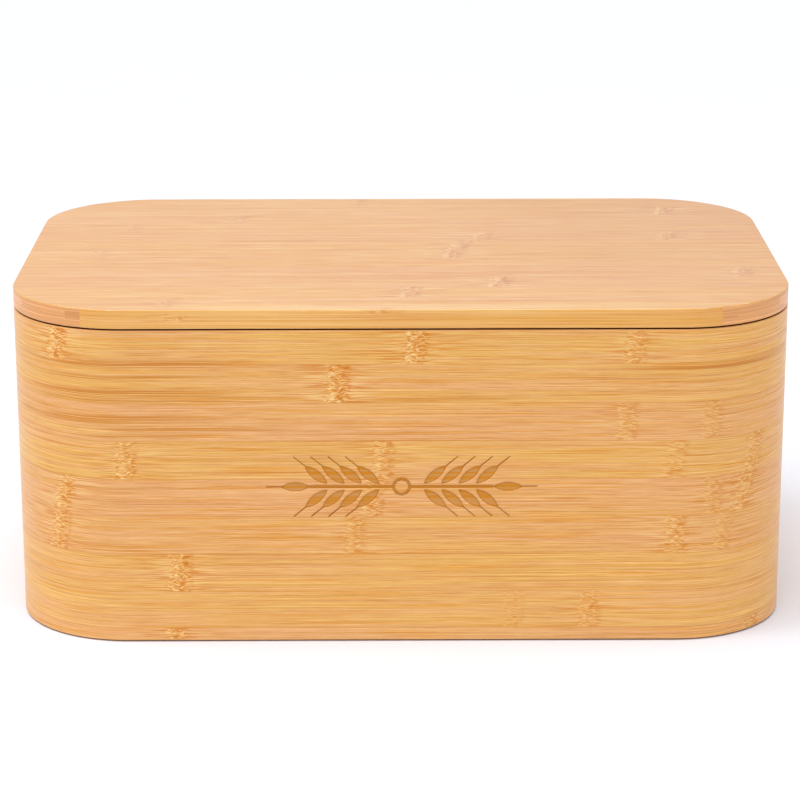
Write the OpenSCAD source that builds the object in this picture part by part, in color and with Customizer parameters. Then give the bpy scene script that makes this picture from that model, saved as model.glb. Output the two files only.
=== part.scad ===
// Bread box of bent bamboo ply with a lift-off lid.
// The origin is at the centre of the footprint, on the surface that the box
// stands on. +Z is up, +X to the right and -Y towards the front.

/* [Box] */
// Length of the box, from left to right
box_l = 320; // [260:1:420]
// Depth of the box, from front to back
box_d = 210; // [170:1:280]
// Height of the wall, from its lower edge to the rim that carries the lid
wall_h = 132.1; // [100:0.1:180]
// Thickness of the bent wall
wall_t = 7; // [6:0.5:10]
// Outer radius of the bent corners
corner_r = 48; // [30:1:70]
// Radius of the eased arrises of the wood
arris_r = 0.5; // [0.2:0.1:0.9]

/* [Rim] */
// Height of the shadow gap between the lid and the outer edge of the wall
shadow_h = 0.6; // [0.4:0.1:2]
// How far the shadow gap runs in from the outer face
shadow_w = 2.5; // [1.5:0.5:3]

/* [Side joints] */
// Thickness of the loose tongues that join the two halves of the wall
tongue_t = 2.5; // [2:0.1:3.5]
// Width of a tongue, half of it in each half of the wall
tongue_w = 14; // [8:1:24]
// Solid wood left above and below a tongue
tongue_margin = 12; // [6:1:30]
// Gap for glue round the tongues and the base panel
glue_gap = 0.1; // [0.05:0.05:0.2]

/* [Base] */
// Thickness of the base panel
base_t = 6; // [5:0.5:9]
// Width of the rebate in the wall that holds the base panel
base_rebate_w = 3; // [2:0.5:3.5]

/* [Lid] */
// Thickness of the lid board
lid_t = 7.9; // [6:0.1:14]
// Thickness of the locating panel under the lid board
locating_t = 5; // [3:0.5:10]
// Clearance between the locating panel and the inside of the wall
lid_clearance = 1; // [0.5:0.1:2]

/* [Feet] */
// Diameter of a foot pad
foot_d = 12; // [8:0.5:20]
// Thickness of a foot pad
foot_t = 2; // [1.5:0.1:3]
// Height by which a foot pad stands out of the base
foot_proud = 0.6; // [0.4:0.1:1.2]
// Distance from the outer faces of the box to the centre of a foot pad
foot_inset = 40; // [32:1:60]
// Clearance between a foot pad and the side of its recess
foot_clearance = 0.2; // [0.1:0.1:0.4]

/* [Ornament] */
// Depth of the engraved ornament
engraving_depth = 0.4; // [0.2:0.1:0.8]
// Number of pairs of grains in each ear
ear_pairs = 4; // [3:1:7]
// Distance from one pair of grains to the next
ear_pitch = 7; // [5.5:0.1:8]
// Length of one grain
grain_l = 12; // [9:0.5:14]
// Width of one grain
grain_w = 3.8; // [2.5:0.1:4.5]
// Length of the awn on the tip of a grain
awn_l = 6; // [3:0.5:10]
// Width of an awn
awn_w = 0.5; // [0.4:0.1:0.8]
// Angle between a grain and the stalk, in degrees
grain_angle = 40; // [25:1:50]
// Distance from the middle of the ornament to the first pair of grains
stalk_l = 9; // [6:0.5:16]
// Width of the stalk
stalk_w = 1.2; // [0.8:0.1:1.8]
// Radius of the ring in the middle of the ornament
tie_r = 3.2; // [2.5:0.1:5]

/* [Hidden] */
$fn = 96;

bamboo = [0.89, 0.66, 0.38];
lid_bamboo = [0.94, 0.75, 0.56];
inner_bamboo = [0.86, 0.68, 0.44];
pad_grey = [0.20, 0.20, 0.20];

// Heights of the stack above the surface that the box stands on
wood_z = foot_proud;
rim_z = wood_z + wall_h;

// Half distances between the centres of the bent corners
corner_x = box_l / 2 - corner_r;
corner_y = box_d / 2 - corner_r;

// How far a cut runs past the face that it opens
cut = 1;

// Rectangle from a lower left corner, with its four corners rounded
module eased_rect(corner, size, r) {
    translate(corner) {
        translate([r, 0]) square([size[0] - 2 * r, size[1]]);
        translate([0, r]) square([size[0], size[1] - 2 * r]);
        for (x = [r, size[0] - r], y = [r, size[1] - r])
            translate([x, y]) circle(r);
    }
}

// Section of the wall: x runs outwards from the centre of a corner, y upwards.
// The outer leaf stops below the lid, the inner leaf stops above the base.
module wall_section() {
    inner_x = corner_r - wall_t;
    outer_leaf_x = inner_x + base_rebate_w;
    eased_rect([outer_leaf_x, 0], [wall_t - base_rebate_w, wall_h - shadow_h], arris_r);
    eased_rect([inner_x, base_t], [wall_t - shadow_w, wall_h - base_t], arris_r);
}

// Carries a section round one half of the box, from side to side by the front
module carry_round_front() {
    translate([corner_x, -corner_y, 0])
        rotate([90, 0, -90])
            linear_extrude(2 * corner_x)
                children();
    for (side = [0, 1])
        mirror([side, 0, 0]) {
            translate([corner_x, -corner_y, 0])
                rotate([0, 0, -90])
                    rotate_extrude(angle = 90)
                        children();
            translate([corner_x, 0, 0])
                rotate([90, 0, 0])
                    linear_extrude(corner_y)
                        children();
        }
}

// Plate with rounded corners, standing on z = 0
module rounded_plate(length, depth, r, thickness) {
    linear_extrude(thickness) {
        square([length - 2 * r, depth], center = true);
        square([length, depth - 2 * r], center = true);
        for (x = [-1, 1], y = [-1, 1])
            translate([x * (length / 2 - r), y * (depth / 2 - r)]) circle(r);
    }
}

// The same plate with its arrises eased to the radius e
module eased_plate(length, depth, r, thickness, e) {
    rounded_plate(length - 2 * e, depth - 2 * e, r - e, thickness);
    translate([0, 0, e])
        rounded_plate(length, depth, r, thickness - 2 * e);
    for (z = [e, thickness - e], turn = [0, 180])
        translate([0, 0, z])
            rotate([0, 0, turn])
                plate_edge(length, depth, r, e);
}

// Round rod along half the edge of a plate: one long side, one short side
// and the corners after them
module plate_edge(length, depth, r, e) {
    centre_x = length / 2 - r;
    centre_y = depth / 2 - r;
    translate([-centre_x, -depth / 2 + e, 0])
        rotate([0, 90, 0])
            cylinder(r = e, h = 2 * centre_x);
    translate([length / 2 - e, -centre_y, 0])
        rotate([-90, 0, 0])
            cylinder(r = e, h = 2 * centre_y);
    for (corner = [[-1, -90], [1, 0]])
        translate([centre_x, corner[0] * centre_y, 0])
            rotate([0, 0, corner[1]])
                rotate_extrude(angle = 90)
                    translate([r - e, 0]) circle(e);
}

// Loose tongue of a side joint, enlarged all round by a gap
module tongue(side, gap) {
    translate([side * (box_l - wall_t) / 2, 0, wood_z + (wall_h + base_t) / 2])
        cube([tongue_t + 2 * gap,
              tongue_w + 2 * gap,
              wall_h - base_t - 2 * tongue_margin + 2 * gap], center = true);
}

// Pointed grain with its awn, its root at the origin and its tip along +X.
// Two arcs of the radius bow_r, through the root and the tip, bound it.
module grain() {
    bow_r = (grain_l * grain_l + grain_w * grain_w) / (4 * grain_w);
    translate([grain_l / 2, 0])
        intersection_for(side = [-1, 1])
            translate([0, side * (bow_r - grain_w / 2)]) circle(bow_r);
    translate([grain_l / 2, -awn_w / 2])
        square([grain_l / 2 + awn_l, awn_w]);
}

// One ear: a stalk, pairs of grains along it and one grain at the tip
module ear() {
    tip_x = stalk_l + ear_pairs * ear_pitch;
    translate([tie_r, -stalk_w / 2])
        square([tip_x - tie_r, stalk_w]);
    translate([tip_x, 0]) grain();
    for (i = [0 : ear_pairs - 1], side = [-1, 1])
        translate([stalk_l + i * ear_pitch, side * stalk_w])
            rotate(side * grain_angle) grain();
}

// Engraved ornament: two ears lying end to end, joined by a ring
module ornament() {
    ear();
    mirror([1, 0]) ear();
    difference() {
        circle(tie_r + stalk_w / 2);
        circle(tie_r - stalk_w / 2);
    }
}

// Front half of the wall: a U of bent ply, with the ornament cut into it
module front_wall() {
    color(bamboo)
        difference() {
            translate([0, 0, wood_z])
                carry_round_front() wall_section();
            tongue(-1, glue_gap);
            tongue(1, glue_gap);
            translate([0, -box_d / 2 + engraving_depth, wood_z + wall_h / 2])
                rotate([90, 0, 0])
                    linear_extrude(engraving_depth + cut) ornament();
        }
}

// Back half of the wall: the same U, turned round
module back_wall() {
    color(bamboo)
        difference() {
            translate([0, 0, wood_z])
                rotate([0, 0, 180])
                    carry_round_front() wall_section();
            tongue(-1, glue_gap);
            tongue(1, glue_gap);
        }
}

// Tongues glued into slots across the two side joints
module left_joint_tongue() {
    color(inner_bamboo) tongue(-1, 0);
}

module right_joint_tongue() {
    color(inner_bamboo) tongue(1, 0);
}

// Places its children at one foot, x and y being -1 or 1
module at_foot(x, y) {
    translate([x * (box_l / 2 - foot_inset), y * (box_d / 2 - foot_inset), 0])
        children();
}

// Base panel, let into the rebate of the wall and flush with its lower edge
module base_panel() {
    edge_in = wall_t - base_rebate_w + glue_gap;
    color(inner_bamboo)
        difference() {
            translate([0, 0, wood_z])
                rounded_plate(box_l - 2 * edge_in, box_d - 2 * edge_in,
                              corner_r - edge_in, base_t);
            for (x = [-1, 1], y = [-1, 1])
                at_foot(x, y)
                    translate([0, 0, wood_z - cut])
                        cylinder(d = foot_d + 2 * foot_clearance,
                                 h = cut + foot_t - foot_proud);
        }
}

// Lid board, flush with the outside of the wall and resting on its rim
module lid_board() {
    color(lid_bamboo)
        translate([0, 0, rim_z])
            eased_plate(box_l, box_d, corner_r, lid_t, arris_r);
}

// Locating panel, glued under the lid board; it drops inside the wall
module lid_locating_panel() {
    edge_in = wall_t + lid_clearance;
    color(lid_bamboo)
        translate([0, 0, rim_z - locating_t])
            eased_plate(box_l - 2 * edge_in, box_d - 2 * edge_in,
                        corner_r - edge_in, locating_t, arris_r);
}

// Soft pad with an eased lower edge, held in its recess
module foot_pad(x, y) {
    color(pad_grey)
        at_foot(x, y)
            rotate_extrude() {
                square([foot_d / 2 - arris_r, foot_t]);
                translate([0, arris_r])
                    square([foot_d / 2, foot_t - arris_r]);
                translate([foot_d / 2 - arris_r, arris_r]) circle(arris_r);
            }
}

module foot_pad_front_left() {
    foot_pad(-1, -1);
}

module foot_pad_front_right() {
    foot_pad(1, -1);
}

module foot_pad_back_left() {
    foot_pad(-1, 1);
}

module foot_pad_back_right() {
    foot_pad(1, 1);
}

front_wall();
back_wall();
left_joint_tongue();
right_joint_tongue();
base_panel();
lid_board();
lid_locating_panel();
foot_pad_front_left();
foot_pad_front_right();
foot_pad_back_left();
foot_pad_back_right();
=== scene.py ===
import math

import bpy
import numpy as np
from mathutils import Matrix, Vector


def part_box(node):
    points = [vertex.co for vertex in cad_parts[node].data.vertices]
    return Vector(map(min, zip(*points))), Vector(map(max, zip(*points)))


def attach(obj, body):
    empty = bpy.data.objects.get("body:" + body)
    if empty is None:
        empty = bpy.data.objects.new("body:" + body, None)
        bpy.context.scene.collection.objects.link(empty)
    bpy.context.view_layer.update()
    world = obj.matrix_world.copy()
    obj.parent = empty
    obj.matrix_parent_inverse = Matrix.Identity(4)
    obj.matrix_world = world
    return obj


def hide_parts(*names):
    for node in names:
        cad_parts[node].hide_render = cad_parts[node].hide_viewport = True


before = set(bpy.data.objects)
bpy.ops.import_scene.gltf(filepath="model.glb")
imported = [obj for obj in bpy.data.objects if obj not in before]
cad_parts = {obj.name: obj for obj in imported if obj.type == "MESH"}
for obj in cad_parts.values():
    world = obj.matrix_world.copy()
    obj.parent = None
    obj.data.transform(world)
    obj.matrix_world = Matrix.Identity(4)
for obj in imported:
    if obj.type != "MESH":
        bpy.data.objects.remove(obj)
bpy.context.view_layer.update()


# ---- Camera -----------------------------------------------------------------
# A long lens a little over a metre in front of the box and above it, looking at
# the middle of the wood. The place comes from the outlines in the photograph.

IMAGE_PX = 800
FOCAL_PX = 2803
SENSOR_MM = 36
CAMERA_FAR = 1.2335
CAMERA_ELEVATION = math.radians(16.27)
CAMERA_YAW = math.radians(-0.23)
CAMERA_ROLL = math.radians(-0.09)
AXIS_BELOW_CENTRE_PX = 4.6
AXIS_RIGHT_OF_CENTRE_PX = 0.5

lid_top_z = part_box("lid_board")[1].z
wood_foot_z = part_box("front_wall")[0].z
wood_middle = np.array([0, 0, (lid_top_z + wood_foot_z) / 2])


def turned_axes(elevation, yaw, roll):
    """Right, up and back of a camera. Back points from the scene to the camera at the
    elevation and yaw; right is level; both others are then turned about back by roll."""
    back = np.array([math.sin(yaw) * math.cos(elevation),
                     -math.cos(yaw) * math.cos(elevation),
                     math.sin(elevation)])
    right = np.array([math.cos(yaw), math.sin(yaw), 0])
    up = np.cross(back, right)
    return (right * math.cos(roll) + up * math.sin(roll),
            up * math.cos(roll) - right * math.sin(roll),
            back)


def stand(thing, axes, place):
    """Puts a camera or a light at a place, its right, up and back along the axes."""
    matrix = np.eye(4)
    matrix[:3, :3] = np.stack(axes, 1)
    matrix[:3, 3] = place
    thing.matrix_world = Matrix(matrix.tolist())
    bpy.context.scene.collection.objects.link(thing)


camera_data = bpy.data.cameras.new("camera")
camera_data.sensor_width = SENSOR_MM
camera_data.lens = FOCAL_PX / IMAGE_PX * SENSOR_MM
camera_data.shift_y = AXIS_BELOW_CENTRE_PX / IMAGE_PX
camera_data.shift_x = -AXIS_RIGHT_OF_CENTRE_PX / IMAGE_PX
camera_data.clip_start = 0.05
camera_data.clip_end = 50
camera = bpy.data.objects.new("camera", camera_data)
camera_axes = turned_axes(CAMERA_ELEVATION, CAMERA_YAW, CAMERA_ROLL)
stand(camera, camera_axes, wood_middle + camera_axes[2] * CAMERA_FAR)
bpy.context.scene.camera = camera


# ---- Studio -----------------------------------------------------------------
# A white floor without an edge and white all round. One wide soft light hangs over
# the box, one stands far off on the left and a small one near its left front corner.

FLOOR_HALF = 6.0
FLOOR_WHITE = (0.785, 0.80, 0.865)
FLOOR_MOTTLE = 0.01
SURROUND_STRENGTH = 0.71
SOFT_ANGLE = math.radians(30)
# Elevation and yaw in degrees, and strength, of the two far lights
FAR_LIGHTS = {"over_light": (80, 0, 1.29), "left_light": (62, -90, 0.50)}
NEAR_ELEVATION = math.radians(60)
NEAR_YAW = math.radians(-60)
NEAR_FAR = 0.8
NEAR_SIZE = 0.32
NEAR_POWER = 1.21

bpy.context.scene.view_settings.view_transform = "Standard"
bpy.context.scene.view_settings.look = "None"

for name, (elevation, yaw, strength) in FAR_LIGHTS.items():
    far_data = bpy.data.lights.new(name, "SUN")
    far_data.angle = SOFT_ANGLE
    far_data.energy = strength
    far_axes = turned_axes(math.radians(elevation), math.radians(yaw), 0)
    stand(bpy.data.objects.new(name, far_data), far_axes, wood_middle + 2 * far_axes[2])

near_data = bpy.data.lights.new("near_light", "AREA")
near_data.size = NEAR_SIZE
near_data.energy = NEAR_POWER
near_axes = turned_axes(NEAR_ELEVATION, NEAR_YAW, 0)
stand(bpy.data.objects.new("near_light", near_data), near_axes, wood_middle + NEAR_FAR * near_axes[2])


def wire(tree, kind, inputs=(), **settings):
    """One shader node. inputs maps a socket's name or number to a value or to the
    output that feeds it; settings are the node's own properties."""
    made = tree.nodes.new(kind)
    for key, value in settings.items():
        setattr(made, key, value)
    for key, value in dict(inputs).items():
        socket = made.inputs[key]
        if isinstance(value, bpy.types.NodeSocket):
            tree.links.new(value, socket)
        else:
            socket.default_value = value
    return made


def mixed(tree, factor, a, b):
    """Colour that goes from a to b as the factor goes from zero to one."""
    return wire(tree, "ShaderNodeMix", {"Factor": factor, "A": a, "B": b}, data_type="RGBA").outputs[2]


def ramp(tree, value, start, end, low=0.0, high=1.0):
    """Goes from low to high as the value goes from start to end, and stays there beyond."""
    return wire(tree, "ShaderNodeMapRange", {"Value": value, "From Min": start, "From Max": end,
                                             "To Min": low, "To Max": high}).outputs["Result"]


# To the camera itself the surround is pure white, so that the floor has no horizon
world = bpy.data.worlds.new("white_surround")
world.use_nodes = True
surround = world.node_tree.nodes["Background"]
surround.inputs["Color"].default_value = (1, 1, 1, 1)
seen = wire(world.node_tree, "ShaderNodeLightPath").outputs["Is Camera Ray"]
world.node_tree.links.new(ramp(world.node_tree, seen, 0.0, 1.0, low=SURROUND_STRENGTH),
                          surround.inputs["Strength"])
bpy.context.scene.world = world


def new_material(name):
    """Node material without nodes yet, and its tree."""
    material = bpy.data.materials.new(name)
    material.use_nodes = True
    material.node_tree.nodes.clear()
    return material, material.node_tree


def surfaced(material, inputs):
    """The material, given a surface with these inputs."""
    shader = wire(material.node_tree, "ShaderNodeBsdfPrincipled", inputs)
    wire(material.node_tree, "ShaderNodeOutputMaterial", {"Surface": shader.outputs[0]})
    return material


def floor_material():
    """Matt white sheet, a little cool, with a very faint mottle in its colour."""
    material, tree = new_material("white_card")
    place = wire(tree, "ShaderNodeTexCoord").outputs["Object"]
    mottle = wire(tree, "ShaderNodeTexNoise", {"Vector": place, "Scale": 3.0}).outputs["Fac"]
    whiter = tuple(level + FLOOR_MOTTLE for level in FLOOR_WHITE)
    white = mixed(tree, mottle, FLOOR_WHITE + (1,), whiter + (1,))
    return surfaced(material, {"Base Color": white, "Roughness": 0.9, "Specular IOR Level": 0.1})


def squares(index):
    """Faces between the neighbouring points of a grid of their numbers."""
    return np.stack([index[:-1, :-1], index[:-1, 1:], index[1:, 1:], index[1:, :-1]], -1).reshape(-1, 4)


floor_mesh = bpy.data.meshes.new("floor")
floor_side = np.linspace(-FLOOR_HALF, FLOOR_HALF, 9)
floor_x, floor_y = np.meshgrid(floor_side, floor_side)
floor_index = np.arange(floor_x.size).reshape(floor_x.shape)
floor_mesh.from_pydata(np.stack([floor_x, floor_y, 0 * floor_x], -1).reshape(-1, 3).tolist(), [],
                       squares(floor_index).tolist())
floor_mesh.materials.append(floor_material())
floor = bpy.data.objects.new("floor", floor_mesh)
bpy.context.scene.collection.objects.link(floor)


# ---- Front wall -------------------------------------------------------------
# The front half of the wall: a U of bamboo ply, bent round both front corners, its
# grain running along it. It is glued to the back half at the middle of each side,
# over a loose tongue. Two ears of wheat are engraved in the middle of the front.

MM = 0.001

wall_low, wall_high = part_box("front_wall")
HALF_LENGTH = wall_high.x
HALF_DEPTH = -wall_low.y
WALL_H = wall_high.z - wall_low.z
WALL_T = 7 * MM
CORNER_R = 48 * MM
ARRIS_R = 0.5 * MM
RIM_EASE = 0.35 * MM
# Faces have a row of points this far from an arris, so that they stay flat in the light
FLAT_FROM = 0.25 * MM
# Points of a section keep at least this far from its arcs
POINTS_APART = 0.05 * MM
SHADOW_H = 0.6 * MM
SHADOW_W = 2.5 * MM
# The painted shade on the step under the lid, a dark colour that stands in for the shadow in the gap,
# reaches this far beyond the step
SEAM_SHADE_REACH = 0.1 * MM
BASE_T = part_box("base_panel")[1].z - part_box("base_panel")[0].z
REBATE_W = 3 * MM
JOINT_EASE = 0.12 * MM
GLUE_GAP = 0.1 * MM

STRIP_W = 16 * MM
FIRST_STRIP_TOP = 5.4 * MM
# Strips of the next layer of wood are numbered on from the next multiple of this
LAYER_STRIPS = 20
# So many strips have a tone and a slide of their own, then these repeat
STRIP_TONES = 64

ENGRAVING_DEPTH = 0.4 * MM
ENGRAVING_SLOPE = 0.3 * MM
NOT_ENGRAVED = 5 * MM
EAR_PAIRS = 4
EAR_PITCH = 7 * MM
GRAIN_L = 12 * MM
GRAIN_W = 3.8 * MM
AWN_L = 6 * MM
AWN_W = 0.5 * MM
GRAIN_ANGLE = math.radians(40)
STALK_L = 9 * MM
STALK_W = 1.2 * MM
TIE_R = 3.2 * MM
ORNAMENT_HALF_L = STALK_L + EAR_PAIRS * EAR_PITCH + GRAIN_L + AWN_L
ORNAMENT_HALF_H = STALK_W + (GRAIN_L + AWN_L) * math.sin(GRAIN_ANGLE) + AWN_W

# Nodes of the bamboo on the front: place along the wall in mm, number of the
# strip counted up from the lowest, strength, and lean in mm across the strip
FRONT_NODES = [
    (-93, 0, 0.9, 0), (148, 0, 0.6, 0),
    (45, 1, 0.3, 1), (76, 1, 0.55, 0), (-240, 1, 0.8, 0), (205, 1, 0.7, 0),
    (-91, 2, 1.1, 1), (188, 2, 0.7, 0), (-215, 2, 0.8, 1),
    (-142, 3, 0.8, 3), (-20, 3, 0.6, 0), (111, 3, 0.7, 0), (131, 3, 0.4, 2), (225, 3, 0.8, 0),
    (-139, 4, 0.8, 5), (-12, 4, 0.7, 2), (126, 4, 0.45, 0), (141, 4, 0.7, 4), (-230, 4, 0.8, 0),
    (-112, 5, 0.8, 0), (-8, 5, 0.7, 0), (110, 5, 0.45, 2), (146, 5, 0.6, 3), (236, 5, 0.8, 0),
    (90, 6, 0.5, 0), (125, 6, 0.4, 0), (-190, 6, 0.8, 0), (212, 6, 0.8, 1),
    (-26, 7, 1.2, 0), (178, 7, 0.7, 0), (-224, 7, 0.8, 0),
    (-141, 8, 1.0, 2), (5, 8, 1.1, 1), (93, 8, 0.65, 1), (218, 8, 0.8, 0),
]

# Bands, paler below zero: from and to along the wall in mm, height, thickness, share
FRONT_BANDS = [
    (-170, -50, 117.6, 2.4, 0.7), (-114, -90, 122, 0.8, 0.7), (-165, -70, 112, 1.4, 0.7),
    (-170, -60, 105.6, 2.4, 0.7), (-165, -35, 102.6, 1.2, 0.9), (70, 200, 116, 1.8, 0.8),
    (-165, -70, 94.5, 2.6, 0.6), (-130, -40, 90.5, 1.2, 0.9), (-150, -60, 87.6, 1.2, 0.6),
    (-150, -30, 37, 0.7, 0.9), (-30, 60, 103, 0.8, 0.7), (-180, 260, 2, 34, -0.10),
]


def bent_line(along, half_x, half_y, radius):
    """Points and outward directions on the front half of a rounded rectangle. along is
    the length run from the middle of the front: straight as far as half_x - radius, then
    a quarter circle turning with run / radius, then straight back along the side. The
    left half mirrors the right."""
    side, reach = np.sign(along), np.abs(along)
    straight = half_x - radius
    turn = np.clip((reach - straight) / radius, 0, np.pi / 2)
    back = np.maximum(reach - straight - radius * np.pi / 2, 0)
    point = np.stack([side * (np.minimum(reach, straight) + radius * np.sin(turn)),
                      radius - half_y - radius * np.cos(turn) + back], -1)
    return point, np.stack([side * np.sin(turn), -np.cos(turn)], -1)


def eased_section(corners, radii, stops, steps=4):
    """Closed section with its square corners rounded. At a corner met along p and left
    along q, the arc of radius r is centre - r q cos t + r p sin t, t from 0 to a right
    angle. stops lists, for each edge, the lengths from its start where it has a point."""
    corners = np.array(corners, float)
    out = np.roll(corners, -1, 0) - corners
    length = np.linalg.norm(out, axis=1)
    out /= length[:, None]
    arriving = np.roll(out, 1, 0)
    t = np.linspace(0, np.pi / 2, steps + 1)[:, None]
    points = []
    for i, corner in enumerate(corners):
        r = radii[i]
        if r > 0:
            centre = corner - r * arriving[i] + r * out[i]
            points.append(centre - r * out[i] * np.cos(t) + r * arriving[i] * np.sin(t))
        else:
            points.append(corner[None])
        run = np.array(stops[i], float)
        end = length[i] - radii[(i + 1) % len(radii)]
        run = run[(run > r + POINTS_APART) & (run < end - POINTS_APART)]
        points.append(corner + run[:, None] * out[i])
    return np.concatenate(points)


def strip_rows(height, coarse, fine=0, fine_low=0, fine_high=0):
    """Heights at which the wall's faces have a row: every strip's edge, and between them
    steps of about coarse, or of about fine in the strips that fine_low to fine_high meets."""
    edges = np.arange(FIRST_STRIP_TOP, height, STRIP_W)
    edges = np.concatenate([[0], edges, [height]])
    rows = []
    for low, high in zip(edges[:-1], edges[1:]):
        step = fine if low < fine_high and high > fine_low else coarse
        rows.append(np.linspace(low, high, max(2, int((high - low) / step) + 1))[:-1])
    return np.concatenate(rows + [[height]])


def ornament_distance(x, z):
    """Distance outside the engraved ornament, less than zero inside it. A grain is where
    two discs overlap, so its distance is the larger of the two; an awn and the stalk are
    boxes, the ring is the distance from a circle less half its width; the nearest counts."""
    x = np.abs(x)
    bow_r = (GRAIN_L ** 2 + GRAIN_W ** 2) / (4 * GRAIN_W)
    tip = STALK_L + EAR_PAIRS * EAR_PITCH
    roots = [(tip, 0.0, 0.0)]
    for i in range(EAR_PAIRS):
        for side in (-1, 1):
            roots.append((STALK_L + i * EAR_PITCH, side * STALK_W, side * GRAIN_ANGLE))
    nearest = np.maximum(np.abs(x - (TIE_R + tip) / 2) - (tip - TIE_R) / 2,
                         np.abs(z) - STALK_W / 2)
    nearest = np.minimum(nearest, np.abs(np.hypot(x, z) - TIE_R) - STALK_W / 2)
    for root_x, root_z, angle in roots:
        run = (x - root_x) * math.cos(angle) + (z - root_z) * math.sin(angle)
        off = np.abs((z - root_z) * math.cos(angle) - (x - root_x) * math.sin(angle))
        husk = np.hypot(run - GRAIN_L / 2, off + bow_r - GRAIN_W / 2) - bow_r
        awn = np.maximum(np.abs(run - (GRAIN_L * 0.75 + AWN_L / 2)) - (GRAIN_L / 4 + AWN_L / 2),
                         off - AWN_W / 2)
        nearest = np.minimum(nearest, np.minimum(husk, awn))
    return nearest


def corner_layer(mesh, name, values):
    """Stores one number, or one place, for each corner of each face."""
    kind, field = ("FLOAT_VECTOR", "vector") if values.ndim == 2 else ("FLOAT", "value")
    layer = mesh.attributes.new(name, kind, "CORNER")
    layer.data.foreach_set(field, np.asarray(values, np.float32).ravel())


def nearest_node(along, strip, nodes):
    """For each face, its strip's nearest node of the bamboo: place, strength, lean and a
    number of its own. A strip without a node gets one of no strength far away."""
    found = np.zeros((len(along), 4))
    found[:, 0] = 1e3
    for number, (place, of_strip, strength, lean) in enumerate(nodes):
        closer = (strip == of_strip) & (np.abs(along - place * MM) < np.abs(along - found[:, 0]))
        found[closer] = (place * MM, strength, lean * MM, number + 1)
    return found


def soft_bands(along, across, bands):
    """Sum of soft bars, darker above zero and paler below: each fades over a third of its own
    length at both ends, and from its middle to a thickness above and below it."""
    total = np.zeros(len(along))
    for start, end, height, thick, share in np.array(bands, float).reshape(-1, 5) * [MM, MM, MM, MM, 1]:
        inside = np.clip(np.minimum(along - start, end - along) / ((end - start) / 3), 0, 1)
        total += share * inside * np.clip(1 - np.abs(across - height) / thick, 0, 1)
    return np.clip(2 * total, -1, 1)


def lay_grain(mesh, face_of_corner, place, along_mid, strip, across_mid, width, edge,
              nodes, bands, seed):
    """Writes what the bamboo material reads on each corner: grain, the place along,
    across and into the wood, slid along by a random length for each strip; strip, a random
    number for each; node, the place relative to the nearest node of that strip and the
    node's number; strength, that node's strength; edge, one where the cut edge shows."""
    draw = np.random.default_rng(seed)
    slides = draw.uniform(0, 3, STRIP_TONES)
    tones = draw.uniform(0, 1, STRIP_TONES)
    found = nearest_node(along_mid, strip, nodes)[face_of_corner]
    strip, across_mid = strip[face_of_corner], across_mid[face_of_corner]
    across = (place[:, 1] - across_mid) / width[face_of_corner]
    from_node = place[:, 0] - found[:, 0] - found[:, 2] * across
    grain = place.copy()
    grain[:, 0] += slides[strip % STRIP_TONES]
    corner_layer(mesh, "grain", grain)
    corner_layer(mesh, "strip", tones[strip % STRIP_TONES])
    corner_layer(mesh, "node", np.stack([from_node, across, found[:, 3]], -1))
    corner_layer(mesh, "strength", found[:, 1])
    corner_layer(mesh, "band", soft_bands(place[:, 0], place[:, 1], bands))
    corner_layer(mesh, "edge", edge[face_of_corner])


def show(name, mesh, material, body, node):
    """Puts a finished piece in the scene, where it rides on a body and stands for a CAD node."""
    mesh.name = name
    mesh.materials.append(material)
    mesh.polygons.foreach_set("use_smooth", np.ones(len(mesh.polygons), bool))
    mesh.update()
    piece = bpy.data.objects.new(name, mesh)
    bpy.context.scene.collection.objects.link(piece)
    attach(piece, body)
    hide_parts(node)


def hollowed(mesh, hollows):
    """The piece with hollows cut out of it. Each is an upright prism: its outline, run
    round anticlockwise, at the height of its foot and again at that of its top."""
    points, faces, first = [], [], 0
    for outline, foot_z, top_z in hollows:
        count = len(outline)
        foot = first + np.arange(count)
        after = np.roll(foot, -1)
        points += [np.column_stack([outline, np.full(count, z)]) for z in (foot_z, top_z)]
        faces += np.stack([foot, after, after + count, foot + count], -1).tolist()
        faces += [foot[::-1].tolist(), (foot + count).tolist()]
        first += 2 * count
    prisms = bpy.data.meshes.new("hollow_prisms")
    prisms.from_pydata(np.concatenate(points).tolist(), [], faces)
    cutter = bpy.data.objects.new("hollow_cutter", prisms)
    blank = bpy.data.objects.new("uncut_piece", mesh)
    for thing in (cutter, blank):
        bpy.context.scene.collection.objects.link(thing)
    cut = blank.modifiers.new("hollow", "BOOLEAN")
    cut.operation, cut.solver, cut.object = "DIFFERENCE", "EXACT", cutter
    bpy.context.view_layer.update()
    cut_out = blank.evaluated_get(bpy.context.evaluated_depsgraph_get())
    finished = bpy.data.meshes.new_from_object(cut_out)
    for thing in (cutter, blank):
        bpy.data.objects.remove(thing)
    return finished


# Slots for the tongues, half of each in either half of the wall
tongue_slots = []
for side in ("left", "right"):
    low, high = np.array(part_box(side + "_joint_tongue")) + [[-GLUE_GAP], [GLUE_GAP]]
    outline = [low[:2], [high[0], low[1]], high[:2], [low[0], high[1]]]
    tongue_slots.append((outline, low[2], high[2]))


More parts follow.
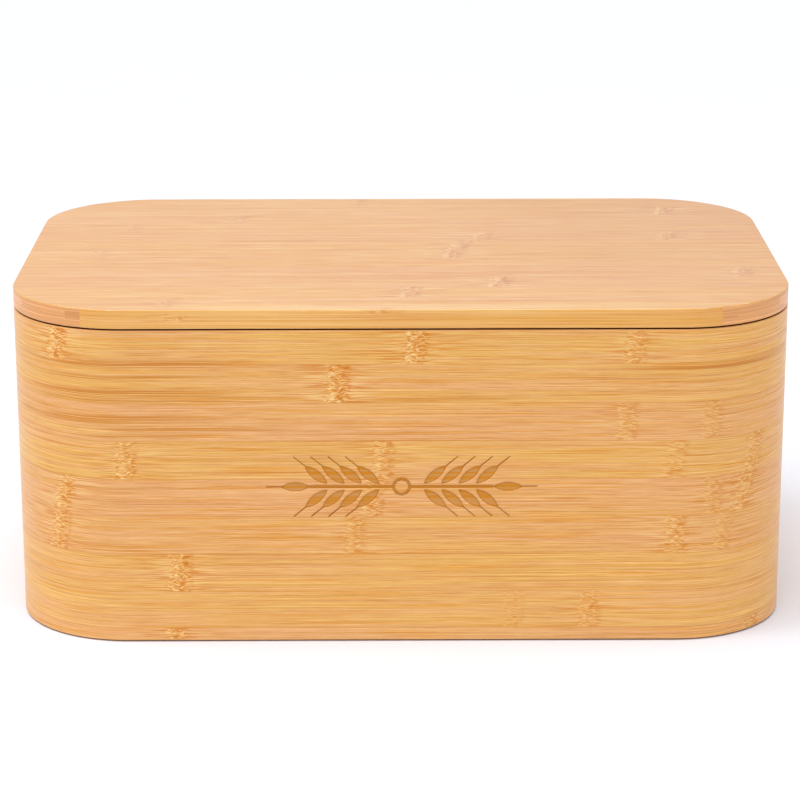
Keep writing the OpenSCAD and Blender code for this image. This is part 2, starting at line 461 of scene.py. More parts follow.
def bent_wall(half_columns, section, nodes, bands, seed, turned=False, engraved=False):
    """Wall half: the section, in depth from the outer face and height, carried along the
    bent line, as far to the left as to the right. A point is line - depth times outward.
    Towards the two ends the section draws in by JOINT_EASE, so that the joint shows."""
    columns = np.concatenate([-half_columns[:0:-1], half_columns])
    ease = np.clip(1 - (half_columns[-1] - np.abs(columns)) / JOINT_EASE, 0, 1)[:, None] * JOINT_EASE
    point, out = bent_line(columns, HALF_LENGTH, HALF_DEPTH, CORNER_R)
    depth = np.broadcast_to(section[:, 0], (len(columns), len(section)))
    height = np.broadcast_to(section[:, 1], depth.shape)
    inward = depth + ease * (1 - 2 * depth / WALL_T)
    rise = height + ease * (1 - 2 * height / WALL_H)
    along = np.broadcast_to(columns[:, None], depth.shape)
    outside = (depth < 1e-9) & (ease < 1e-9)
    distance = np.full(depth.shape, NOT_ENGRAVED)
    if engraved:
        distance = np.where(outside, ornament_distance(along, height - WALL_H / 2), distance)
        fall = np.clip(0.5 - distance / ENGRAVING_SLOPE, 0, 1)
        inward = inward + ENGRAVING_DEPTH * fall * fall * (3 - 2 * fall)
    xy = point[:, None] - out[:, None] * inward[..., None]
    vertices = np.concatenate([xy * (-1 if turned else 1), (rise + wood_foot_z)[..., None]], -1)
    index = np.arange(depth.size).reshape(depth.shape)
    around = np.roll(index, -1, 1)
    quads = np.stack([index[:-1], index[1:], around[1:], around[:-1]], -1).reshape(-1, 4)
    mesh = bpy.data.meshes.new("wall")
    mesh.from_pydata(vertices.reshape(-1, 3).tolist(), [],
                     quads.tolist() + [index[0].tolist(), index[-1][::-1].tolist()])

    corners = np.concatenate([quads.ravel(), index[0], index[-1][::-1]])
    face_of_corner = np.repeat(np.arange(len(quads) + 2), [4] * len(quads) + [len(section)] * 2)
    place = np.stack([along, height, depth], -1).reshape(-1, 3)
    middle = place[quads].mean(1)
    middle = np.concatenate([middle, place[index[0]].mean(0)[None], place[index[-1]].mean(0)[None]])
    strip = np.floor((middle[:, 1] - FIRST_STRIP_TOP) / STRIP_W).astype(int) + 1
    strip_mid = FIRST_STRIP_TOP + (strip - 0.5) * STRIP_W
    on_face = np.minimum(middle[:, 2], WALL_T - middle[:, 2]) < 1e-6
    inner = middle[:, 2] > WALL_T / 2
    lay_grain(mesh, face_of_corner, place[corners], middle[:, 0], strip + LAYER_STRIPS * inner,
              strip_mid, np.full(len(strip), STRIP_W), 1.0 - on_face, nodes, bands, seed)
    corner_layer(mesh, "engraved", distance.ravel()[corners])
    # Faces of the step under the lid, which get painted shade: a dark colour for the shadow in the gap
    above_leaf = middle[:, 1] > WALL_H - SHADOW_H - SEAM_SHADE_REACH
    seam_shade_faces = above_leaf & (middle[:, 2] > ARRIS_R) & (middle[:, 2] < SHADOW_W + SEAM_SHADE_REACH)
    corner_layer(mesh, "seam_painted_shade", seam_shade_faces[face_of_corner])
    return hollowed(mesh, tongue_slots)


def spaced(stops, steps):
    """Whole run of places through the stops, each stretch cut into steps about as long
    as the one given for it."""
    stretches = [np.linspace(a, b, max(2, round(abs(b - a) / s) + 1))[:-1]
                 for a, b, s in zip(stops[:-1], stops[1:], steps)]
    return np.concatenate(stretches + [[stops[-1]]])


def sums(tree, operation, a, b=0.0, c=0.0, clamp=False):
    """A sum worked out with single numbers."""
    return wire(tree, "ShaderNodeMath", {0: a, 1: b, 2: c},
                operation=operation, use_clamp=clamp).outputs[0]


def vector_sums(tree, operation, a, b, c=(0.0, 0.0, 0.0)):
    """A sum worked out with colours or places, for each of their three numbers by itself."""
    return wire(tree, "ShaderNodeVectorMath", {0: a, 1: b, 2: c}, operation=operation).outputs[0]


def bamboo_group():
    """Node group for lacquered bamboo. Noises drawn out along the grain, each of its own
    thickness, lay pink, orange, brown and cream lines over a golden ground. Near a node
    the place across the grain is pushed about, so that the fibres wriggle, with short
    pale and dark strokes in it, and longer ones that run out of it along the grain."""
    tree = bpy.data.node_groups.new("bamboo", "ShaderNodeTree")
    for name, kind, default in (
            ("Grain", "Vector", None), ("Node", "Vector", None), ("Strength", "Float", 0.0),
            ("Strip", "Float", 0.5), ("Band", "Float", 0.0), ("Edge", "Float", 0.0),
            ("Streaks", "Float", 1.0), ("Lines", "Float", 1.0), ("Tint", "Vector", (0.50, 1.0, 1.70)),
            ("Golden", "Color", (0.808, 0.438, 0.112, 1)), ("Pink", "Color", (0.803, 0.405, 0.152, 1)),
            ("Orange", "Color", (0.775, 0.335, 0.045, 1)), ("Cream", "Color", (0.970, 0.670, 0.280, 1)),
            ("CutEnd", "Color", (0.810, 0.415, 0.145, 1)), ("Brown", "Color", (0.610, 0.215, 0.022, 1)),
            ("Fleck", "Color", (0.660, 0.195, 0.000, 1))):
        socket = tree.interface.new_socket(name, in_out="INPUT", socket_type="NodeSocket" + kind)
        if default is not None:
            socket.default_value = default
    for name, kind in (("Color", "Color"), ("Roughness", "Float"), ("Height", "Float")):
        tree.interface.new_socket(name, in_out="OUTPUT", socket_type="NodeSocket" + kind)
    given = tree.nodes.new("NodeGroupInput").outputs

    def calc(*what, **how):
        return sums(tree, *what, **how)

    def fade(value, low, high, top=1.0):
        """Zero at low, top at high, smooth between; high may be the lower one."""
        return wire(tree, "ShaderNodeMapRange",
                    {"Value": value, "From Min": low, "From Max": high, "To Max": top},
                    interpolation_type="SMOOTHSTEP").outputs["Result"]

    def noise(x, y, z, detail=0.0):
        """Noise of a size of about one, read at these coordinates."""
        place = wire(tree, "ShaderNodeCombineXYZ", {0: x, 1: y, 2: z}).outputs[0]
        return wire(tree, "ShaderNodeTexNoise",
                    {"Vector": place, "Scale": 1.0, "Detail": detail}).outputs["Fac"]

    def streak(length, place, thick, apart, detail=0.0):
        """Noise drawn out to a length along the grain, and of a thickness at a place across
        it, both in mm, apart from the other ones."""
        return noise(calc("DIVIDE", along, length), calc("DIVIDE", place, thick), apart, detail)

    def blend(factor, a, b):
        return mixed(tree, factor, a, b)

    def tinted(colour, light, each):
        """The colour times one plus the light, of which red, green and blue each take their
        own share, and never less than a tenth of the colour."""
        gain = vector_sums(tree, "MULTIPLY_ADD", light, each, (1.0, 1.0, 1.0))
        return vector_sums(tree, "MULTIPLY", colour, vector_sums(tree, "MAXIMUM", gain, (0.1, 0.1, 0.1)))

    metric = vector_sums(tree, "MULTIPLY", given["Grain"], (1000.0, 1000.0, 1000.0))
    grain = wire(tree, "ShaderNodeSeparateXYZ", {0: metric}).outputs
    along, across, deep = grain[0], grain[1], grain[2]
    knot = wire(tree, "ShaderNodeSeparateXYZ", {0: given["Node"]}).outputs
    node_x, node_y = calc("MULTIPLY", knot[0], 1000.0), knot[1]
    node_seed = calc("MULTIPLY", knot[2], 17.3)
    deep_seed = calc("ADD", deep, node_seed)

    # Where a node of the bamboo is: a ragged band across the strip, and its surroundings
    ragged = noise(calc("DIVIDE", across, 0.8), node_seed, 0.5, 1.0)
    edge_x = calc("ABSOLUTE", calc("MULTIPLY_ADD", calc("SUBTRACT", ragged, 0.5), 6.0, node_x))
    zone = calc("MULTIPLY", fade(edge_x, 4.4, 2.4), given["Strength"], clamp=True)
    around = calc("MULTIPLY", fade(calc("ABSOLUTE", node_x), 24.0, 3.0), given["Strength"], clamp=True)

    # Fibres: the place across the grain, led astray slightly everywhere and quickly at a node
    astray = streak(260.0, across, 30.0, calc("DIVIDE", deep, 30.0))
    drift = calc("MULTIPLY", calc("SUBTRACT", astray, 0.5), 1.4)
    turn = calc("MULTIPLY", streak(6.0, across, 1.6, deep_seed), 9.0)
    wriggle = calc("SINE", calc("MULTIPLY_ADD", along, 1.2, turn))
    reach = calc("MULTIPLY_ADD", zone, 0.28, calc("MULTIPLY", around, 0.05))
    strayed = calc("ADD", across, calc("MULTIPLY_ADD", wriggle, reach, drift))

    def fibres(thick, length, apart, detail=0.0):
        """Streaks that go as far into the wood as they are thick."""
        return streak(length, strayed, thick, calc("MULTIPLY_ADD", deep, 1 / thick, apart), detail)

    # Colour changes in broad and middling streaks, and thin lines are lighter or darker
    strip_tone = calc("MULTIPLY_ADD", given["Strip"], 0.35, fibres(7.0, 150.0, 5.0, 1.0))
    ground = blend(fade(strip_tone, 0.45, 0.90), given["Golden"], given["Pink"])
    colour = blend(fade(fibres(2.0, 90.0, 157.0, 3.0), 0.45, 0.62, 0.60), ground, given["Pink"])
    colour = blend(fade(fibres(1.3, 60.0, 57.0, 3.0), 0.50, 0.66, 0.75), colour, given["Orange"])
    colour = blend(given["Streaks"], ground, colour)
    dark_lines = fade(fibres(0.40, 90.0, 83.0, 2.0), 0.53, 0.68)
    pale_lines = fade(fibres(0.36, 60.0, 0.0, 2.0), 0.53, 0.68)
    light = 0.0
    for lines, share in ((fibres(0.17, 14.0, 31.0), 0.75), (fibres(0.26, 140.0, 311.0, 1.0), 0.95),
                         (fibres(0.18, 4.0, 411.0), 0.25)):
        light = calc("MULTIPLY_ADD", calc("SUBTRACT", lines, 0.5), share, light)
    light = calc("MULTIPLY_ADD", dark_lines, -0.22, light)
    light = calc("MULTIPLY_ADD", pale_lines, 0.19, light)
    colour = tinted(colour, calc("MULTIPLY", light, given["Lines"]), given["Tint"])
    # Bands turn the colour towards brown or cream; on the lid the broad ones are painted light and painted
    # shade
    band = calc("MULTIPLY", given["Band"], fade(fibres(0.34, 90.0, 131.0), 0.40, 0.54))
    colour = blend(calc("MAXIMUM", band, 0.0), colour, given["Brown"])
    colour = blend(calc("MAXIMUM", calc("MULTIPLY", band, -1.0), 0.0), colour, given["Cream"])

    # A node: streaks that run out of it, pale and dark strokes all over it, and patches, the
    # darkest towards its right edge. Last come the glue lines between strips
    runout = streak(13.0, strayed, 0.42, deep_seed)
    stroke = streak(2.4, strayed, 0.27, deep_seed)
    patch = streak(3.2, strayed, 0.55, calc("ADD", deep_seed, 40.0))
    right_edge = calc("MULTIPLY", calc("MULTIPLY", fade(node_x, -1.5, 1.5), fade(node_x, 7.0, 4.0)),
                      given["Strength"], clamp=True)
    glue = fade(calc("ABSOLUTE", node_y), 0.482, 0.496)
    for where, share, name in (
            (zone, 0.45, "Orange"),
            (around, fade(runout, 0.52, 0.62, 0.60), "Fleck"),
            (around, fade(runout, 0.47, 0.36, 0.50), "Cream"),
            (zone, fade(stroke, 0.48, 0.57, 0.90), "Cream"),
            (zone, fade(stroke, 0.46, 0.38, 0.80), "Fleck"),
            (right_edge, fade(patch, 0.50, 0.60, 0.85), "Fleck"),
            (zone, fade(patch, 0.44, 0.36, 0.60), "Orange"),
            (glue, 0.35, "Brown")):
        colour = blend(calc("MULTIPLY", where, share), colour, given[name])

    # Cut ends: lines that run round the board, and each strip's own tone
    ply = streak(40.0, deep, 0.40, calc("MULTIPLY", given["Strip"], 90.0), 1.0)
    ply_light = calc("MULTIPLY_ADD", given["Strip"], 0.24, fade(ply, 0.56, 0.66, 0.22))
    ply_light = calc("MULTIPLY_ADD", calc("SUBTRACT", ply, 0.5), 0.5, calc("ADD", ply_light, -0.15))
    colour = blend(given["Edge"], colour, tinted(given["CutEnd"], ply_light, (0.72, 1.0, 1.55)))

    rough = calc("MULTIPLY_ADD", pale_lines, 0.10, 0.32)
    height = calc("MULTIPLY_ADD", calc("MULTIPLY", zone, stroke), 0.5, fibres(0.42, 40.0, 17.0))
    height = calc("MULTIPLY_ADD", glue, -0.25, height)
    wire(tree, "NodeGroupOutput", {"Color": colour, "Roughness": rough, "Height": height})
    return tree


bamboo = bamboo_group()


def read(tree, name, output="Fac"):
    """Output of an attribute that the piece's mesh carries."""
    return wire(tree, "ShaderNodeAttribute", attribute_name=name).outputs[output]


def bamboo_in(tree, **own):
    """The bamboo group placed in a material, fed by the piece's own grain. own gives the
    inputs that differ from the wall's."""
    made = wire(tree, "ShaderNodeGroup", node_tree=bamboo)
    for name in ("Grain", "Node", "Strength", "Strip", "Band", "Edge"):
        output = "Vector" if name in ("Grain", "Node") else "Fac"
        tree.links.new(read(tree, name.lower(), output), made.inputs[name])
    for name, value in own.items():
        made.inputs[name].default_value = value
    return made


GRAIN_RELIEF = 0.03 * MM


def relief(tree, made):
    """Normal that follows the height of the bamboo's fibres."""
    return wire(tree, "ShaderNodeBump", {"Height": made.outputs["Height"], "Distance": GRAIN_RELIEF,
                                         "Strength": 0.6}).outputs[0]


# The engraving's floor, its paler fibres and its outline, and the painted shade on the step under the lid,
# which stands in for the shadow in the gap
BURNT = (0.64, 0.225, 0.0, 1)
BURNT_PALE = (0.62, 0.29, 0.075, 1)
BURNT_EDGE = (0.42, 0.13, 0.0, 1)
# Painted shade: dark brown that stands in for the shadow in the gap under the lid
SEAM_PAINTED_SHADE = (0.13, 0.024, 0.003, 1)
BARE_ROUGHNESS = 0.85
# How far to both sides of the border the burn fades, and how far inside it the outline
# begins and is at its darkest
BURN_SOFT = 0.06 * MM
OUTLINE_W = 0.45 * MM
OUTLINE_FULL = 0.05 * MM


def wall_material():
    """Lacquered bamboo. The engraving is burnt darker, most of all along its outline, and the step under
    the lid gets painted shade, a dark brown colour that stands in for the shadow in the gap; both are bare
    of lacquer."""
    material, tree = new_material("wall_bamboo")
    made = bamboo_in(tree)
    distance, seam_painted_shade = read(tree, "engraved"), read(tree, "seam_painted_shade")
    inside = ramp(tree, distance, BURN_SOFT, -BURN_SOFT)
    outline = ramp(tree, distance, -OUTLINE_W, -OUTLINE_FULL)
    drawn = vector_sums(tree, "MULTIPLY", read(tree, "grain", "Vector"), (9.0, 900.0, 900.0))
    streak = wire(tree, "ShaderNodeTexNoise", {"Vector": drawn, "Scale": 1.0, "Detail": 3.0}).outputs["Fac"]
    burnt = mixed(tree, ramp(tree, streak, 0.44, 0.58), BURNT, BURNT_PALE)
    burnt = mixed(tree, outline, burnt, BURNT_EDGE)
    colour = mixed(tree, sums(tree, "MULTIPLY", inside, 0.9), made.outputs["Color"], burnt)
    # Painted shade: the step under the lid is coloured dark brown in place of the shadow in the gap
    colour = mixed(tree, seam_painted_shade, colour, SEAM_PAINTED_SHADE)
    bare = sums(tree, "MAXIMUM", inside, seam_painted_shade)
    rough = wire(tree, "ShaderNodeMix",
                 {"Factor": bare, "A": made.outputs["Roughness"], "B": BARE_ROUGHNESS}).outputs[0]
    return surfaced(material, {"Base Color": colour, "Roughness": rough,
                               "Normal": relief(tree, made), "Specular IOR Level": 0.3})


wall_bamboo = wall_material()


def wall_section(rows_out, rows_in):
    """Section of the wall: up the outer face, in over the shadow gap, up to the rim, down
    the inner face to the base's shoulder and down the rebate, back under the lower edge."""
    leaf_top = WALL_H - SHADOW_H
    near = [ARRIS_R + FLAT_FROM]
    return eased_section(
        [(0, 0), (0, leaf_top), (SHADOW_W, leaf_top), (SHADOW_W, WALL_H),
         (WALL_T, WALL_H), (WALL_T, BASE_T), (WALL_T - REBATE_W, BASE_T), (WALL_T - REBATE_W, 0)],
        [ARRIS_R, ARRIS_R, 0, RIM_EASE, ARRIS_R, ARRIS_R, 0, ARRIS_R],
        [np.sort(np.concatenate([rows_out, near, [leaf_top - near[0]]])),
         near, [], [near[0], WALL_T - SHADOW_W - near[0]],
         np.sort(np.concatenate([WALL_H - rows_in, near, [WALL_H - BASE_T - near[0]]])),
         near, near, near])


straight_x = HALF_LENGTH - CORNER_R
bend_end = straight_x + CORNER_R * math.pi / 2
wall_end = bend_end + HALF_DEPTH - CORNER_R
fine_x = ORNAMENT_HALF_L + 1 * MM
# From the start of the bend to the joint at the side
bend_stops = [straight_x, bend_end, wall_end - 1 * MM, wall_end - JOINT_EASE, wall_end]
bend_steps = [2.5 * MM, 4 * MM, 1 * MM, 1 * MM]
front_columns = spaced([0, fine_x] + bend_stops, [0.5 * MM, 3 * MM] + bend_steps)
front_rows = strip_rows(WALL_H, coarse=1 * MM, fine=0.4 * MM,
                        fine_low=WALL_H / 2 - ORNAMENT_HALF_H, fine_high=WALL_H / 2 + ORNAMENT_HALF_H)
inner_rows = strip_rows(WALL_H, coarse=5 * MM)
front_mesh = bent_wall(front_columns, wall_section(front_rows, inner_rows), FRONT_NODES, FRONT_BANDS,
                       seed=11, engraved=True)
show("front_wall_bent_ply", front_mesh, wall_bamboo, "box", "front_wall")


# ---- Back wall --------------------------------------------------------------
# The back half of the wall, bent from the same ply in the same mould and turned
# round, so its strips don't run on from those of the front half.


def scattered_nodes(seed, strips, reach, pitch):
    """Nodes of the bamboo at random: one in each stretch of about a pitch of each strip, as
    far as reach on both sides of the middle, in mm."""
    draw = np.random.default_rng(seed)
    nodes = []
    for strip in range(strips):
        place = -reach + draw.uniform(0, pitch)
        while place < reach:
            nodes.append((round(place), strip, draw.uniform(0.6, 1.0), draw.uniform(-2, 3)))
            place += pitch * draw.uniform(0.7, 1.3)
    return nodes


back_nodes = scattered_nodes(seed=5, strips=9, reach=245, pitch=170)
back_columns = spaced([0] + bend_stops, [4 * MM] + bend_steps)
back_rows = strip_rows(WALL_H, coarse=4 * MM)
back_mesh = bent_wall(back_columns, wall_section(back_rows, inner_rows), back_nodes, [],
                      seed=12, turned=True)
show("back_wall_bent_ply", back_mesh, wall_bamboo, "box", "back_wall")


# ---- Base panel -------------------------------------------------------------
# A flat board glued up from bamboo strips, pushed into the rebate from below.
# Its underside has a shallow round recess for each foot pad.

# Rows of points across a board, in each rounded corner and between two, and how far the
# edge of a strip keeps from the arris, and the other rows from the edge of a strip
CORNER_ROWS = 24
STRAIGHT_ROWS = 30
ARRIS_APART = 0.3 * MM
ROWS_APART = 0.12 * MM


def loop_round(grid):
    """The outer points of a grid as one closed run round it."""
    return np.concatenate([grid[0, :-1], grid[:-1, -1], grid[-1, :0:-1], grid[:0:-1, 0]])


def rounded_board(low, high, radius, ease, layer_tops, strip_edges, cut_from, nodes, bands, seed,
                  columns=60):
    """Board with rounded corners and eased arrises, lying between two corners. A row at y
    reaches x = half_x - radius + sqrt(radius squared - (|y| - half_y + radius) squared); its
    points are spread evenly between its two ends. A section carried round the rim of these
    rows joins the upper face to the lower one. On the rim the grain's place is the length
    run round it, and beyond cut_from from the front and back edges its cut end shows."""
    low, high = np.array(low), np.array(high)
    half_x, half_y, thick = (high[0] - low[0]) / 2, (high[1] - low[1]) / 2, high[2] - low[2]
    inset = ease + FLAT_FROM
    r = radius - inset
    flat_x, flat_y = half_x - radius, half_y - radius
    turn = np.linspace(0, np.pi / 2, CORNER_ROWS, endpoint=False)
    edges = np.unique(np.concatenate([np.ravel(e) for e in strip_edges]))
    edges = edges[np.abs(edges) < half_y - inset - ARRIS_APART]
    rows = np.concatenate([-flat_y - r * np.cos(turn), np.linspace(-flat_y, flat_y, STRAIGHT_ROWS),
                           flat_y + r * np.cos(turn[::-1])])
    rows = rows[np.abs(rows[:, None] - edges[None]).min(1) > ROWS_APART]
    y = np.sort(np.concatenate([rows, edges]))
    reach = flat_x + np.sqrt(np.maximum(r ** 2 - np.maximum(np.abs(y) - flat_y, 0) ** 2, 0))
    spread = np.linspace(-1, 1, columns) * reach[:, None]
    face = np.stack(np.broadcast_arrays(spread, y[:, None]), -1)
    ring = loop_round(face)
    centre = np.clip(ring, [-flat_x, -flat_y], [flat_x, flat_y])
    out = (ring - centre) / np.linalg.norm(ring - centre, axis=1)[:, None]

    t = np.linspace(0, np.pi / 2, 5)
    sides = np.array([z for z in layer_tops if ease < z < thick - ease])
    section = np.concatenate([
        [[0, thick]], np.stack([FLAT_FROM + ease * np.sin(t), thick - ease + ease * np.cos(t)], -1),
        np.stack([np.full(len(sides) + 2, inset),
                  np.concatenate([[thick - inset], sides[::-1], [inset]])], -1),
        np.stack([FLAT_FROM + ease * np.cos(t), ease - ease * np.sin(t)], -1), [[0, 0]]])
    band = ring + out * section[:, 0, None, None]
    band = np.concatenate([band, np.broadcast_to(section[:, 1, None, None], band[..., :1].shape)], -1)

    upper, lower = [np.concatenate([face, np.full(face.shape[:2] + (1,), z)], -1) for z in (thick, 0)]
    up_index = np.arange(upper[..., 0].size).reshape(upper.shape[:2])
    low_index = up_index + up_index.size
    between = band[1:-1]
    mid_index = 2 * up_index.size + np.arange(between[..., 0].size).reshape(between.shape[:2])
    rings = np.concatenate([loop_round(up_index)[None], mid_index, loop_round(low_index)[None]])
    after = np.roll(rings, -1, 1)
    quads = np.concatenate([
        squares(up_index), squares(low_index)[:, [0, 3, 2, 1]],
        np.stack([rings[1:], after[1:], after[:-1], rings[:-1]], -1).reshape(-1, 4)])
    place = np.concatenate([upper.reshape(-1, 3), lower.reshape(-1, 3), between.reshape(-1, 3)])
    row_y = np.concatenate([upper[..., 1].ravel(), lower[..., 1].ravel(),
                            np.broadcast_to(ring[:, 1], between.shape[:2]).ravel()])
    mesh = bpy.data.meshes.new("board")
    middle = (low + high) / 2
    mesh.from_pydata((place + [middle[0], middle[1], low[2]]).tolist(), [], quads.tolist())

    centre = place[quads].mean(1)
    row_mid = row_y[quads].mean(1)
    layer = np.minimum(np.searchsorted(layer_tops, centre[:, 2]), len(layer_tops) - 1)
    strip = np.zeros(len(quads), int)
    width = np.full(len(quads), STRIP_W)
    across_mid = centre[:, 1].copy()
    for n, edge in enumerate(strip_edges):
        bounds = np.concatenate([[-half_y], edge, [half_y]])
        mine = layer == n
        found = np.clip(np.searchsorted(bounds, row_mid[mine]) - 1, 0, len(bounds) - 2)
        strip[mine] = found + LAYER_STRIPS * n
        width[mine] = bounds[found + 1] - bounds[found]
        across_mid[mine] = (bounds[found + 1] + bounds[found]) / 2
    normal = np.cross(place[quads[:, 1]] - place[quads[:, 0]], place[quads[:, 3]] - place[quads[:, 0]])
    normal /= np.linalg.norm(normal, axis=1)[:, None]
    on_rim = np.abs(normal[:, 2]) < 0.5
    cut_end = 1.0 * (on_rim & (half_y - np.abs(row_mid) > cut_from))
    corner_face = np.repeat(np.arange(len(quads)), 4)
    grain = place[quads.ravel()]
    rim_corner = on_rim[corner_face]
    reach_x, reach_y = np.abs(grain[:, 0]), np.abs(grain[:, 1])
    turn = np.arctan2(np.maximum(reach_x - flat_x, 0), np.maximum(reach_y - flat_y, 1e-9))
    run = np.minimum(reach_x, flat_x) + radius * turn + np.maximum(flat_y - reach_y, 0)
    grain[rim_corner, 0] = (np.sign(centre[corner_face, 0]) * run)[rim_corner]
    grain[rim_corner, 1] = (np.sign(centre[corner_face, 1]) * half_y)[rim_corner]
    across_mid[on_rim] = (np.sign(centre[:, 1]) * half_y)[on_rim]
    lay_grain(mesh, corner_face, grain, centre[:, 0], strip, across_mid, width, cut_end,
              nodes, bands, seed)
    corner_layer(mesh, "rim", rim_corner)
    return mesh


def board_strips(half_y, first, pitch):
    """Edges of the strips of one layer across a board: the first, then every pitch."""
    return np.arange(-half_y + first, half_y - 1 * MM, pitch)


def board_material(name):
    """Lacquered bamboo board, darker under a glossier coat than the wall's. On the rim it
    has no coat, fainter lines and, but for its cut ends, more red and green."""
    material, tree = new_material(name)
    made = bamboo_in(tree, Streaks=0.7, Tint=(0.34, 1.0, 5.0),
                     Golden=(0.708, 0.356, 0.062, 1), Pink=(0.694, 0.328, 0.078, 1),
                     Orange=(0.620, 0.215, 0.030, 1), Cream=(0.900, 0.615, 0.260, 1),
                     Brown=(0.460, 0.130, 0.015, 1), Fleck=(0.500, 0.130, 0.000, 1),
                     CutEnd=(0.760, 0.345, 0.115, 1))
    rim = read(tree, "rim")
    tree.links.new(sums(tree, "MULTIPLY_ADD", rim, -1.25, 1.65), made.inputs["Lines"])
    uncut_rim = sums(tree, "SUBTRACT", rim, read(tree, "edge"))
    gain = vector_sums(tree, "MULTIPLY_ADD", uncut_rim, (0.12, 0.08, 0.0), (1.0, 1.0, 1.0))
    colour = vector_sums(tree, "MULTIPLY", made.outputs["Color"], gain)
    coat = sums(tree, "MULTIPLY_ADD", rim, -0.8, 0.8)
    return surfaced(material, {"Base Color": colour, "Roughness": made.outputs["Roughness"],
                               "Normal": relief(tree, made), "Coat Weight": coat, "Coat Roughness": 0.35})


inner_bamboo = board_material("inner_bamboo")
lid_bamboo = board_material("lid_bamboo")

BASE_EASE = 0.2 * MM
HIDDEN_STRIP_W = 20 * MM
HIDDEN_CUT_FROM = 4 * MM
PAD_CLEARANCE = 0.2 * MM
PAD_SIDES = 64

base_low, base_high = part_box("base_panel")
base_strips = board_strips(base_high.y, first=9 * MM, pitch=HIDDEN_STRIP_W)
base_nodes = scattered_nodes(seed=8, strips=12, reach=150, pitch=150)
base_mesh = rounded_board(base_low, base_high, CORNER_R - (WALL_T - REBATE_W) - GLUE_GAP, BASE_EASE,
                          [BASE_T], [base_strips], HIDDEN_CUT_FROM, base_nodes, [], seed=21)
pad_turn = np.linspace(0, 2 * np.pi, PAD_SIDES, endpoint=False)
cad_pads = [f"foot_pad_{end}_{side}" for end in ("front", "back") for side in ("left", "right")]
pad_recesses = []
for cad_pad in cad_pads:
    low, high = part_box(cad_pad)
    recess_r = (high.x - low.x) / 2 + PAD_CLEARANCE
    circle = np.stack([(low.x + high.x) / 2 + recess_r * np.cos(pad_turn),
                       (low.y + high.y) / 2 + recess_r * np.sin(pad_turn)], -1)
    pad_recesses.append((circle, low.z - 1 * MM, high.z))
show("base_board", hollowed(base_mesh, pad_recesses), inner_bamboo, "box", "base_panel")


# ---- Side joint tongues -----------------------------------------------------
# Two flat strips of bamboo in slots across the side joints, out of sight in the
# middle of the ply. The CAD pieces stay as they are and get plain bamboo.

for side in ("left", "right"):
    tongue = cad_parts[side + "_joint_tongue"]
    tongue.data.materials.clear()
    tongue.data.materials.append(inner_bamboo)


# ---- Foot pads --------------------------------------------------------------
# Four round anti-slip pads of dark rubber, glued into the recesses of the base,
# so that the wood stands a little above the table.

RUBBER_DARK = (0.025, 0.025, 0.026, 1)
RUBBER_PALE = (0.05, 0.05, 0.05, 1)
PAD_EASE = 0.3 * MM


def rubber_material():
    """Matt rubber: near black, with a fine cast grain in colour, gloss and height."""
    material, tree = new_material("pad_rubber")
    place = wire(tree, "ShaderNodeTexCoord").outputs["Object"]
    grit = wire(tree, "ShaderNodeTexNoise",
                {"Vector": place, "Scale": 1800.0, "Detail": 2.0}).outputs["Fac"]
    bump = wire(tree, "ShaderNodeBump", {"Height": grit, "Distance": 0.05 * MM, "Strength": 0.5})
    return surfaced(material, {"Base Color": mixed(tree, grit, RUBBER_DARK, RUBBER_PALE),
                               "Roughness": ramp(tree, grit, 0.0, 1.0, low=0.6, high=0.85),
                               "Normal": bump.outputs[0]})


pad_rubber = rubber_material()


def turned_pad(low, high):
    """Round pad: a section of radius and height turned about the upright axis, with both
    flat faces closed by a fan to a point at their middle."""
    x, y = (low.x + high.x) / 2, (low.y + high.y) / 2
    r, top = (high.x - low.x) / 2, high.z
    t = np.linspace(0, np.pi / 2, 6)
    section = np.concatenate([
        np.stack([r - ARRIS_R + ARRIS_R * np.sin(t), low.z + ARRIS_R - ARRIS_R * np.cos(t)], -1),
        [[r, top - PAD_EASE], [r - PAD_EASE / 3, top - PAD_EASE / 3], [r - PAD_EASE, top]]])
    turn = pad_turn[:, None]
    ring = np.stack([x + section[:, 0] * np.cos(turn), y + section[:, 0] * np.sin(turn),
                     np.broadcast_to(section[:, 1], (PAD_SIDES, len(section)))], -1)
    index = np.arange(ring[..., 0].size).reshape(ring.shape[:2])
    after = np.roll(index, -1, 0)
    foot, head = index.size, index.size + 1
    sides = np.stack([index[:, :-1], after[:, :-1], after[:, 1:], index[:, 1:]], -1).reshape(-1, 4)
    under = np.stack([after[:, 0], index[:, 0], np.full(PAD_SIDES, foot)], -1)
    over = np.stack([index[:, -1], after[:, -1], np.full(PAD_SIDES, head)], -1)
    mesh = bpy.data.meshes.new("pad")
    mesh.from_pydata(ring.reshape(-1, 3).tolist() + [[x, y, low.z], [x, y, top]], [],
                     sides.tolist() + under.tolist() + over.tolist())
    return mesh


for cad_pad in cad_pads:
    show(cad_pad + "_rubber", turned_pad(*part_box(cad_pad)), pad_rubber, "box", cad_pad)


# ---- Lid locating panel -----------------------------------------------------
# A thinner bamboo board glued under the lid. It drops inside the wall with a
# millimetre to spare and keeps the lid from sliding off.

PANEL_CLEARANCE = 1 * MM

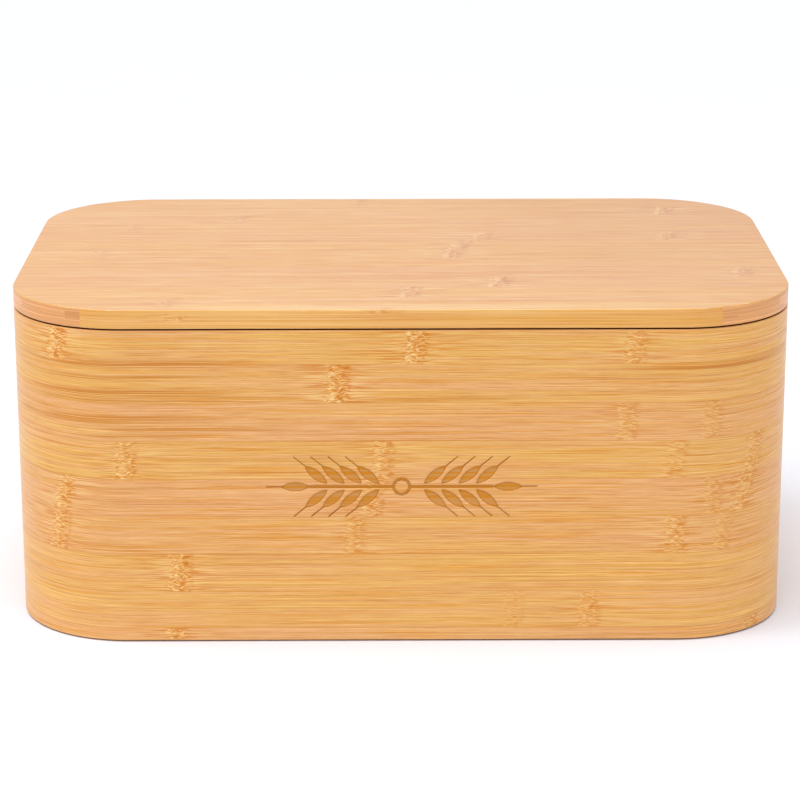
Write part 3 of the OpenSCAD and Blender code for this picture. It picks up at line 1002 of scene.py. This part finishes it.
panel_low, panel_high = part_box("lid_locating_panel")
panel_strips = board_strips(panel_high.y, first=6 * MM, pitch=HIDDEN_STRIP_W)
panel_nodes = scattered_nodes(seed=9, strips=12, reach=150, pitch=160)
panel_mesh = rounded_board(panel_low, panel_high, CORNER_R - WALL_T - PANEL_CLEARANCE, ARRIS_R,
                           [panel_high.z - panel_low.z], [panel_strips], HIDDEN_CUT_FROM,
                           panel_nodes, [], seed=22)
show("lid_locating_board", panel_mesh, lid_bamboo, "lid", "lid_locating_panel")


# ---- Lid board --------------------------------------------------------------
# A board of three layers of bamboo strips, cut flush with the wall and rounded
# at the corners, where the cut ends of the strips show as a pattern of bricks.

lid_low, lid_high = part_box("lid_board")
LID_T = lid_high.z - lid_low.z
# Tops of the three layers, as shares of the lid's thickness
LAYER_TOPS = [0.38, 0.80, 1]
# Edges of the strips of the three layers, in mm from the front edge of the lid
UPPER_STRIPS = [3.5, 20, 37.5, *range(54, 191, 17)]
MIDDLE_STRIPS = [3.5, 6.2, *range(25, 196, 17)]
LOWER_STRIPS = [3.5, *range(30, 201, 17)]
CUT_FROM = 3.5 * MM
# Nodes of the bamboo: place along the lid in mm, strip, strength, lean. Strips are counted
# from the front edge, from 20 in the middle layer and from 40 in the upper one
LID_NODES = [
    (-8, 40, 0.35, 0), (-91, 20, 0.3, 0), (3, 42, 1.0, 2), (-95, 41, 0.5, 2), (40, 43, 1.2, 4),
    (142, 44, 0.9, 2), (21, 46, 1.2, 3), (25, 47, 1.0, 4), (35, 48, 0.9, 3), (117, 48, 1.1, 4),
    (120, 51, 1.1, 4), (-75, 50, 0.5, 2), (-130, 46, 0.4, 2), (-120, 49, 0.4, 0), (-20, 52, 0.4, 0),
]
# Bands: along the front edge paler; and painted light and shade, at the left paler and at the back right
# darker,
# # where the light falls off across the lid. Each from and to along the lid, place across it from the
# middle,
# # thickness, share
LID_BANDS_AND_PAINTED_LIGHT = [(-170, 170, -102, 7, -0.3), (-300, 60, -100, 90, -0.035), (0, 330, 105, 190, 0.22)]
lid_edges = [np.array(mm) * MM - lid_high.y for mm in (LOWER_STRIPS, MIDDLE_STRIPS, UPPER_STRIPS)]
lid_mesh = rounded_board(lid_low, lid_high, CORNER_R, ARRIS_R, [LID_T * share for share in LAYER_TOPS],
                         lid_edges, CUT_FROM, LID_NODES, LID_BANDS_AND_PAINTED_LIGHT, seed=1804, columns=90)
show("lid_laminated_board", lid_mesh, lid_bamboo, "lid", "lid_board")
